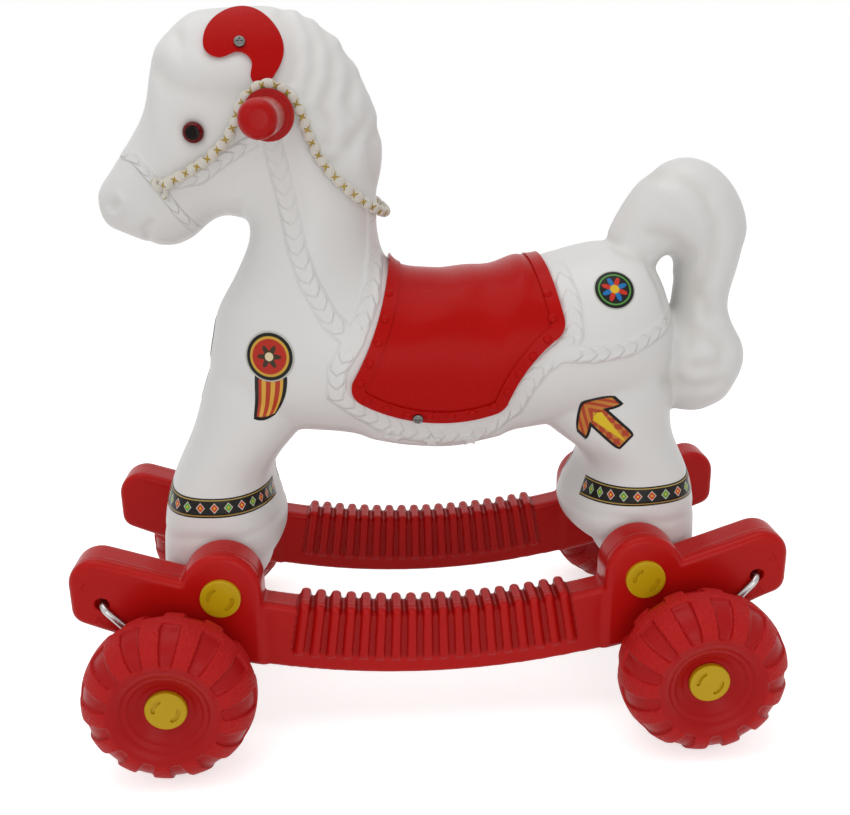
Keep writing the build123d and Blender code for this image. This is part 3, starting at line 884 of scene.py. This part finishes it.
def strand_mesh(lines, radius, name, cyclic=False, swells=None):
    """A mesh of round strands along lines of points, with a share of the radius at each point."""
    data = curve_of(name, lines, "POLY")
    data.bevel_depth = radius
    data.bevel_resolution = 3
    data.use_fill_caps = True
    for spline in data.splines:
        spline.use_cyclic_u = cyclic
        if swells:
            spline.points.foreach_set("radius", swells)
    return mesh_of_curve(data)


rein_line = curve_points([Vector((x, y, z + stance)) * mm for x, y, z in rein_route], rein_resolution)
rein_frames = []
outward = Vector((0, -1, 0))
travelled = 0.0
for before, here, after in zip([rein_line[0], *rein_line], rein_line, [*rein_line[1:], rein_line[-1]]):
    travelled += (here - before).length
    along = (after - before).normalized()
    outward = (outward - along * outward.dot(along)).normalized()
    rein_frames.append((here, along.cross(outward), outward, travelled))


def laid_thread(hand, start):
    """One gold thread that winds round the cord and shows where the cord is drawn in between two plaits."""
    line = []
    for here, beside, out, reach in rein_frames:
        angle = hand * math.pi * reach / bead_pitch + start
        line.append(here + (out * math.cos(angle) + beside * math.sin(angle)) * thread_reach)
    return line


cord_line = [
    here + beside * bead_sway * math.cos(math.pi * reach / bead_pitch)
    for here, beside, _, reach in rein_frames
]
cord_swell = [
    bead_neck + (1 - bead_neck) * abs(math.sin(math.pi * reach / bead_pitch)) ** bead_fullness
    for *_, reach in rein_frames
]
threads = [laid_thread(hand, start) for hand in (-1, 1) for start in (0.0, math.pi)]
rope_mesh = strand_mesh([cord_line], bead_radius, "rein_plaits", swells=cord_swell)
thread_mesh = strand_mesh(threads, thread_radius, "rein_threads")
yarn_scale = 420.0
yarn_uneven = 1.5
yarn_tone_scale = 500.0
yarn_relief = 0.35 * mm
yarn_sheen = 0.2
white_yarn = (0.76, 0.73, 0.66)
deep_white_yarn = (0.68, 0.64, 0.56)
gold_yarn = (0.62, 0.43, 0.04)
deep_gold_yarn = (0.14, 0.08, 0.008)


def cord_cloth(name, colour, deep, rough, metal):
    """Twisted yarn: fine ridges across the strand and a slightly uneven tone."""
    material, shader = new_material(name)
    place = object_place(shader)
    yarn = shader.id_data.nodes.new("ShaderNodeTexWave")
    yarn.bands_direction = "DIAGONAL"
    feed(yarn, {"Vector": place, "Scale": yarn_scale, "Distortion": yarn_uneven})
    feed(shader, {
        "Base Color": mixed(noise(place, yarn_tone_scale, 3.0), colour, deep),
        "Normal": bumped(Field(yarn.outputs["Fac"]), yarn_relief, 0.8),
        "Roughness": rough,
        "Metallic": metal,
        "Sheen Weight": yarn_sheen * (1 - metal),
    })
    return material


rope_white = cord_cloth("rope_white", white_yarn, deep_white_yarn, rough=0.75, metal=0.0)
rope_gold = cord_cloth("rope_gold", gold_yarn, deep_gold_yarn, rough=0.4, metal=0.5)


def two_yarns(white_mesh, gold_mesh):
    """White strands and gold threads as one mesh with two materials."""
    bm = bmesh.new()
    bm.from_mesh(white_mesh)
    whites = len(bm.faces)
    bm.from_mesh(gold_mesh)
    for number, face in enumerate(bm.faces):
        face.material_index = int(number >= whites)
        face.smooth = True
    bmesh.ops.recalc_face_normals(bm, faces=bm.faces)
    return made_mesh(bm, "yarns")


def dress_yarns(piece):
    """The two yarns of the rein on a piece of it."""
    piece.data.materials.append(rope_white)
    piece.data.materials.append(rope_gold)


rein = placed(two_yarns(rope_mesh, thread_mesh), "rein_rope", "horse", "rein")
dress_yarns(rein)
knot_size = 3.4 * mm
knot_width, knot_depth, knot_height = 0.75 * knot_size, 0.8 * knot_size, 0.8 * knot_size
knot_lobe = 1.7
knot_strand = 2.5 * mm
knot_thread_share = 1.28
knot_sink = 3.6 * mm
knot_steps = 48
for side, beside in sides.items():
    low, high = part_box(f"{side}_rein_knot")
    centre = (low + high) / 2 - Vector((0, beside * knot_sink, 0))
    loop = []
    for step in range(knot_steps):
        angle = math.tau * step / knot_steps
        loop.append(Vector((
            (math.sin(angle) + knot_lobe * math.sin(2 * angle)) * knot_width,
            -beside * math.sin(3 * angle) * knot_depth,
            (math.cos(angle) - knot_lobe * math.cos(2 * angle)) * knot_height,
        )))
    gold_loop = [centre + spot * knot_thread_share for spot in loop]
    knot_mesh = two_yarns(
        strand_mesh([[centre + spot for spot in loop]], knot_strand, "knot_strand", cyclic=True),
        strand_mesh([gold_loop], thread_radius, "knot_thread", cyclic=True),
    )
    knot = placed(knot_mesh, f"{side}_rein_tie", "horse", f"{side}_rein_knot")
    dress_yarns(knot)

# Stickers
# Printed vinyl with a pale cut edge, cut to shape and laid on the moulded body by hand: a badge with a tail
# on the chest, a roundel on the rump, an arrow on the thigh and a band round each foot.
# The prints are plain petals, stripes, streaks and diamonds.
sticker_lift = 0.35 * mm
sticker_thickness = 0.25 * mm
lay_reach = 30 * mm
sticker_black = (0.012, 0.011, 0.010)
cut_edge = (0.55, 0.56, 0.50)
petal_blue = (0.02, 0.16, 0.42)
petal_red = (0.55, 0.035, 0.02)
petal_yellow = (0.72, 0.45, 0.03)
ring_green = (0.10, 0.33, 0.06)
badge_gold = (0.60, 0.36, 0.05)
badge_red = (0.46, 0.03, 0.018)
badge_brown = (0.05, 0.035, 0.02)
badge_cream = (0.74, 0.62, 0.40)
ribbon_orange = (0.72, 0.40, 0.06)
ribbon_red = (0.46, 0.05, 0.02)
flame_orange = (0.55, 0.20, 0.035)
flame_red = (0.42, 0.055, 0.02)
flame_yellow = (0.72, 0.50, 0.02)
diamond_green = (0.08, 0.34, 0.05)
diamond_red = (0.56, 0.04, 0.02)
diamond_cream = (0.66, 0.62, 0.50)
diamond_yellow = (0.74, 0.50, 0.03)
band_gold = (0.52, 0.36, 0.10)


def sticker_sheet(name, columns, rows, shape, surface_ray, lift=sticker_lift):
    """A sheet whose grid points are shaped flat, then laid on the body along the given rays."""
    bm = bmesh.new()
    bmesh.ops.create_grid(bm, x_segments=columns, y_segments=rows, size=1.0)
    uv = bm.loops.layers.uv.new("print")
    flat = {vertex: vertex.co.copy() for vertex in bm.verts}
    for face in bm.faces:
        face.smooth = True
        for loop in face.loops:
            loop[uv].uv = (flat[loop.vert].x, flat[loop.vert].y)
    lost = []
    for vertex, spot in flat.items():
        start, towards = surface_ray(*shape(spot.x, spot.y))
        place, normal = on_surface(horse_surface, start, towards)
        if place is None:
            lost.append(vertex)
        else:
            vertex.co = place + normal * lift
    bmesh.ops.delete(bm, geom=lost, context="VERTS")
    bmesh.ops.recalc_face_normals(bm, faces=bm.faces)
    bmesh.ops.solidify(bm, geom=bm.faces, thickness=sticker_thickness)
    return made_mesh(bm, name)


def laid_on(x, z, turn, beside, heading=0.0):
    """Rays that lay a flat sheet square onto the body, round a place found from the side or from ahead."""
    look = Vector((math.sin(heading), -beside * math.cos(heading), 0))
    aim = Vector((x * mm, 0, (z + stance) * mm))
    place, normal = on_surface(horse_surface, aim - look * ray_start, look)
    rise = (Vector((0, 0, 1)) - normal * normal.z).normalized()
    run = rise.cross(normal) * -beside
    c, s = math.cos(turn), math.sin(turn)

    def ray(a, b):
        spot = place + (run * (a * c - b * s) + rise * (a * s + b * c)) * mm
        return spot + normal * lay_reach, -normal

    return ray


def print_vinyl(name, draw):
    """Glossy vinyl whose print is drawn from the sheet's own coordinates, from -1 to 1."""
    material, shader = new_material(name)
    sheet = shader.id_data.nodes.new("ShaderNodeUVMap")
    sheet.uv_map = "print"
    u, v, _ = axes(Field(sheet.outputs["UV"]))
    feed(shader, {"Base Color": draw(u, v), "Roughness": 0.25, "Specular IOR Level": 0.16})
    return material


def drawn_in(own, other):
    """One coordinate of a square print, drawn in as its sheet is drawn in to a disc."""
    return own * reckoned("SQRT", 1.0 - other * other * 0.5)


def radial(u, v):
    """Distance from a round sheet's centre and angle round it."""
    u, v = drawn_in(u, v), drawn_in(v, u)
    return distance(u, v), reckoned("ARCTAN2", v, u)


def rim(reach, width, soft):
    """A mask along the edge of a sheet, where a coordinate comes near 1."""
    return below(1.0 - reach, width, soft)


def foot(v, width, soft):
    """A mask along the lower edge of a sheet, where a coordinate comes near -1."""
    return below(v + 1.0, width, soft)


def fine_line(value, middle, half, soft):
    """A mask along the line on which a value is at its middle."""
    return below(abs(value - middle), half, soft)


def rosette(u, v):
    """Eight petals round a yellow eye, inside a fine ring, on black."""
    reach, angle = radial(u, v)
    turn = reckoned("SINE", angle * 4.0)
    petals = mixed(below(turn, 0.0, 0.1), petal_blue, petal_red)
    colour = mixed(below(reach, abs(turn) * 0.38 + 0.26, 0.05), sticker_black, petals)
    colour = mixed(below(reach, 0.22), colour, petal_yellow)
    colour = mixed(fine_line(reach, 0.76, 0.035, 0.03), colour, ring_green)
    return mixed(rim(reach, 0.055, 0.02), colour, cut_edge)


def spokes(u, v):
    """A red disc with a dark star round its pale middle and a yellow edge, on black."""
    reach, angle = radial(u, v)
    colour = mixed(below(reach, 0.80), sticker_black, badge_gold)
    colour = mixed(below(reach, 0.70), colour, badge_red)
    star = reckoned("COSINE", angle * 6.0) * 0.13 + 0.36
    colour = mixed(below(reach, star, 0.05), colour, badge_brown)
    colour = mixed(below(reach, 0.17), colour, badge_cream)
    return mixed(rim(reach, 0.06, 0.02), colour, cut_edge)


def ribbon(u, v):
    """Long orange and red stripes on black."""
    stripe = reckoned("SINE", u * 11.0)
    colour = mixed(below(stripe, 0.1, 0.3), ribbon_orange, ribbon_red)
    colour = mixed(rim(abs(u), 0.24, 0.04), colour, sticker_black)
    return mixed(foot(v, 0.14, 0.03), colour, sticker_black)


def flame_print(u, v):
    """Dark red streaks on orange, inside a black edge along the sides and the foot."""
    reach = abs(u)
    streak = reckoned("SINE", reach * 9.0) + reckoned("SINE", v * 13.0)
    colour = mixed(below(streak, 0.1, 0.5), flame_orange, flame_red)
    colour = mixed(below(v * -0.25 + reach, 0.26, 0.1), colour, flame_yellow)
    colour = mixed(rim(reach, 0.24, 0.04), colour, sticker_black)
    return mixed(foot(v, 0.12, 0.03), colour, sticker_black)


def barb_print(u, v):
    """The head of the arrow: orange barbs in a black edge that is open where the shaft joins."""
    reach = abs(u)
    streak = reckoned("SINE", v * 5.0 + reach * 14.0)
    colour = mixed(below(streak, 0.0, 0.5), flame_orange, flame_red)
    colour = mixed(rim(reach, 0.12, 0.03), colour, sticker_black)
    colour = mixed(rim(v, 0.34, 0.05), colour, sticker_black)
    return mixed(foot(v, 0.34, 0.05) * rim(reach, 0.66, 0.04), colour, sticker_black)


def band_print(u, v):
    """A row of red and green diamonds with yellow middles between two fine lines, on black."""
    step = u * 7.0
    height = abs(v)
    size = abs((reckoned("FRACT", step) - 0.5) * 1.7) + height
    turn = reckoned("FRACT", reckoned("FLOOR", step) * 0.381)
    paint = mixed(below(turn, 0.5, 0.02), diamond_green, diamond_red)
    colour = mixed(below(size, 0.55, 0.06), sticker_black, diamond_cream)
    colour = mixed(below(size, 0.44, 0.06), colour, paint)
    colour = mixed(below(size, 0.16, 0.06), colour, diamond_yellow)
    return mixed(fine_line(height, 0.80, 0.05, 0.05), colour, band_gold)


rosette_vinyl = print_vinyl("rosette_vinyl", rosette)
spoke_vinyl = print_vinyl("spoke_vinyl", spokes)
ribbon_vinyl = print_vinyl("ribbon_vinyl", ribbon)
flame_vinyl = print_vinyl("flame_vinyl", flame_print)
barb_vinyl = print_vinyl("barb_vinyl", barb_print)
band_vinyl = print_vinyl("band_vinyl", band_print)
rump_place = (157, 369)
roundel_radius = 17.5
chest_places = {"left": (-131.5, 322.5, 0.0), "right": (-152, 322.5, 1.3)}
badge_radius = 21.2
badge_tail_drop = 35.5
thigh_place = (150.5, 254.5)
arrow_turn = 0.826
arrow_reach = 28.5
arrow_half = 10.4
barb_reach = 23.0
barb_sweep = 16.5
barb_half = 8.4
foot_middle = 181.0
band_start = 0.2
band_half = 8.4
band_spread = 66.0
band_angles = {"front": 90.0, "rear": 74.0}
band_levels = {"front": 189.0, "rear": 184.0}
band_tilts = {"front": -1.6, "rear": 4.0}


def band_ray(end, beside):
    """Rays from all round a foot in towards its middle, at the band's height."""
    middle = Vector((ends[end] * foot_middle * mm, 0, 0))

    def ray(a, b):
        angle = math.radians(a)
        out = Vector((math.cos(angle), beside * math.sin(angle), 0))
        rise = band_levels[end] + stance + b + band_tilts[end] * math.cos(angle)
        return middle + Vector((0, 0, rise * mm)) + out * band_start, -out

    return ray


def arrow_shaft(u, v):
    """The arrow's shaft, which ends along the inner edge of its barbs."""
    top = arrow_reach - 2 * barb_half - barb_sweep * abs(u) * arrow_half / barb_reach
    half = arrow_half * (1 - 0.2 * max(0.0, -v) ** 6)
    return u * half, -arrow_reach + (v + 1) / 2 * (top + arrow_reach)


def arrow_head(u, v):
    """The arrow's two swept barbs."""
    half = barb_half * (1 - 0.4 * abs(u) ** 6)
    return u * barb_reach, arrow_reach - barb_half - barb_sweep * math.hypot(u, 0.12) + half * v


def ribbon_tail(u, v):
    """The badge's tail, which leans towards the chest and narrows."""
    middle = -2.2 + 4.9 * v - 1.9 * v * v
    half = 13.0 + 2.9 * v - 1.9 * v * v
    return middle + half * u, 18.5 * v - 1.2 * (1 - u * u) * (1 - v)


def disc(radius):
    """A square grid's points drawn in to a disc of a radius in millimetres."""
    return lambda u, v: (radius * u * math.sqrt(1 - v * v / 2), radius * v * math.sqrt(1 - u * u / 2))


def stick(name, sheet, vinyl):
    """Puts a laid sheet on the horse with its print."""
    sheet.materials.append(vinyl)
    placed(sheet, name, "horse")


def band_sheet(end):
    """The shape of a foot's band, as an angle round the foot and a height."""
    return lambda u, v: (band_angles[end] + band_spread * u, band_half * v)


for side, beside in sides.items():
    on_rump = laid_on(*rump_place, 0.0, beside)
    roundel = sticker_sheet("roundel", 16, 16, disc(roundel_radius), on_rump)
    stick(f"{side}_rump_roundel", roundel, rosette_vinyl)
    x, z, heading = chest_places[side]
    on_chest = laid_on(x, z, 0.0, beside, heading)
    badge = sticker_sheet("badge", 16, 16, disc(badge_radius), on_chest, 2 * sticker_lift)
    stick(f"{side}_chest_badge", badge, spoke_vinyl)
    under_badge = laid_on(x, z - badge_tail_drop, 0.0, beside, heading)
    tail = sticker_sheet("badge_tail", 8, 14, ribbon_tail, under_badge)
    stick(f"{side}_chest_ribbon", tail, ribbon_vinyl)
    on_thigh = laid_on(*thigh_place, arrow_turn, beside)
    stick(f"{side}_thigh_shaft", sticker_sheet("shaft", 8, 18, arrow_shaft, on_thigh), flame_vinyl)
    stick(f"{side}_thigh_barbs", sticker_sheet("barbs", 20, 6, arrow_head, on_thigh), barb_vinyl)
    for end in ends:
        band = sticker_sheet("band", 60, 4, band_sheet(end), band_ray(end, beside))
        stick(f"{end}_{side}_foot_band", band, band_vinyl)

# Stage
# A pale floor, a soft roof of light and a camera where the photograph was taken from.
# The floor and the backdrop show white to the camera, and the floor keeps the shadow.
floor_size = 8.0
floor_grey = (0.86, 0.86, 0.86)
floor_glow = 0.62
white = (1.0, 1.0, 1.0)
grid = bmesh.new()
bmesh.ops.create_grid(grid, x_segments=1, y_segments=1, size=floor_size / 2)
floor_mesh = made_mesh(grid, "floor")
floor = bpy.data.objects.new("floor", floor_mesh)
bpy.context.scene.collection.objects.link(floor)
floor_paint, shader = new_material("floor_paint")


def seen_rays(tree):
    """1 for the rays that show the surroundings: to the camera, in a gloss or through a clear piece."""
    rays = tree.nodes.new("ShaderNodeLightPath").outputs
    seen = reckoned("MAXIMUM", Field(rays["Is Camera Ray"]), Field(rays["Is Glossy Ray"]))
    return reckoned("MAXIMUM", seen, Field(rays["Is Transmission Ray"]))


feed(shader, {
    "Base Color": floor_grey,
    "Roughness": 0.8,
    "Specular IOR Level": 0.0,
    "Emission Color": white,
    "Emission Strength": seen_rays(shader.id_data) * floor_glow,
})
floor_mesh.materials.append(floor_paint)

sky_tone = (1.0, 0.99, 0.98)
sky_strength = 0.50
world = bpy.data.worlds.new("studio")
world.use_nodes = True
bpy.context.scene.world = world
tree = world.node_tree
sky = tree.nodes["Background"]
backdrop = tree.nodes.new("ShaderNodeBackground")
either = tree.nodes.new("ShaderNodeMixShader")
feed(sky, {"Color": sky_tone, "Strength": sky_strength})
feed(backdrop, {"Color": white, "Strength": 1.0})
feed(either, {0: seen_rays(tree), 1: Field(sky.outputs[0]), 2: Field(backdrop.outputs[0])})
feed(tree.nodes["World Output"], {"Surface": Field(either.outputs[0])})


def soft_lamp(name, place, target, size, watts):
    """A square area lamp aimed at a point."""
    data = bpy.data.lights.new(name, "AREA")
    data.size = size
    data.energy = watts
    lamp = bpy.data.objects.new(name, data)
    lamp.location = place
    lamp.rotation_mode = "QUATERNION"
    lamp.rotation_quaternion = (Vector(target) - Vector(place)).to_track_quat("-Z", "Y")
    bpy.context.scene.collection.objects.link(lamp)


soft_lamp("roof", place=(-0.3, -0.1, 2.2), target=(0.0, 0.0, 0.3), size=1.8, watts=15.0)
soft_lamp("window", place=(-1.6, -2.0, 1.5), target=(0.0, 0.0, 0.3), size=1.4, watts=4.0)
soft_lamp("fill", place=(0.15, -1.7, 0.55), target=(0.0, 0.0, 0.08), size=0.9, watts=5.0)

camera_place = (-0.0514, -0.8810, 0.5479)
camera_yaw = 0.059
camera_pitch = 0.314
camera_roll = -0.017
focal_pixels = 1005.99
picture_width = 850
heading = Vector((math.sin(camera_yaw), math.cos(camera_yaw), 0.0))
forward = math.cos(camera_pitch) * heading - Vector((0.0, 0.0, math.sin(camera_pitch)))
level = Vector((math.cos(camera_yaw), -math.sin(camera_yaw), 0.0))
upward = level.cross(forward)
across = math.cos(camera_roll) * level + math.sin(camera_roll) * upward
above = -math.sin(camera_roll) * level + math.cos(camera_roll) * upward
camera_data = bpy.data.cameras.new("camera")
camera_data.sensor_width = 36.0
camera_data.lens = focal_pixels * camera_data.sensor_width / picture_width
camera = bpy.data.objects.new("camera", camera_data)
turned = Matrix((across, above, -forward)).transposed().to_4x4()
camera.matrix_world = Matrix.Translation(camera_place) @ turned
bpy.context.scene.collection.objects.link(camera)
bpy.context.scene.camera = camera
bpy.context.scene.view_settings.view_transform = "Standard"
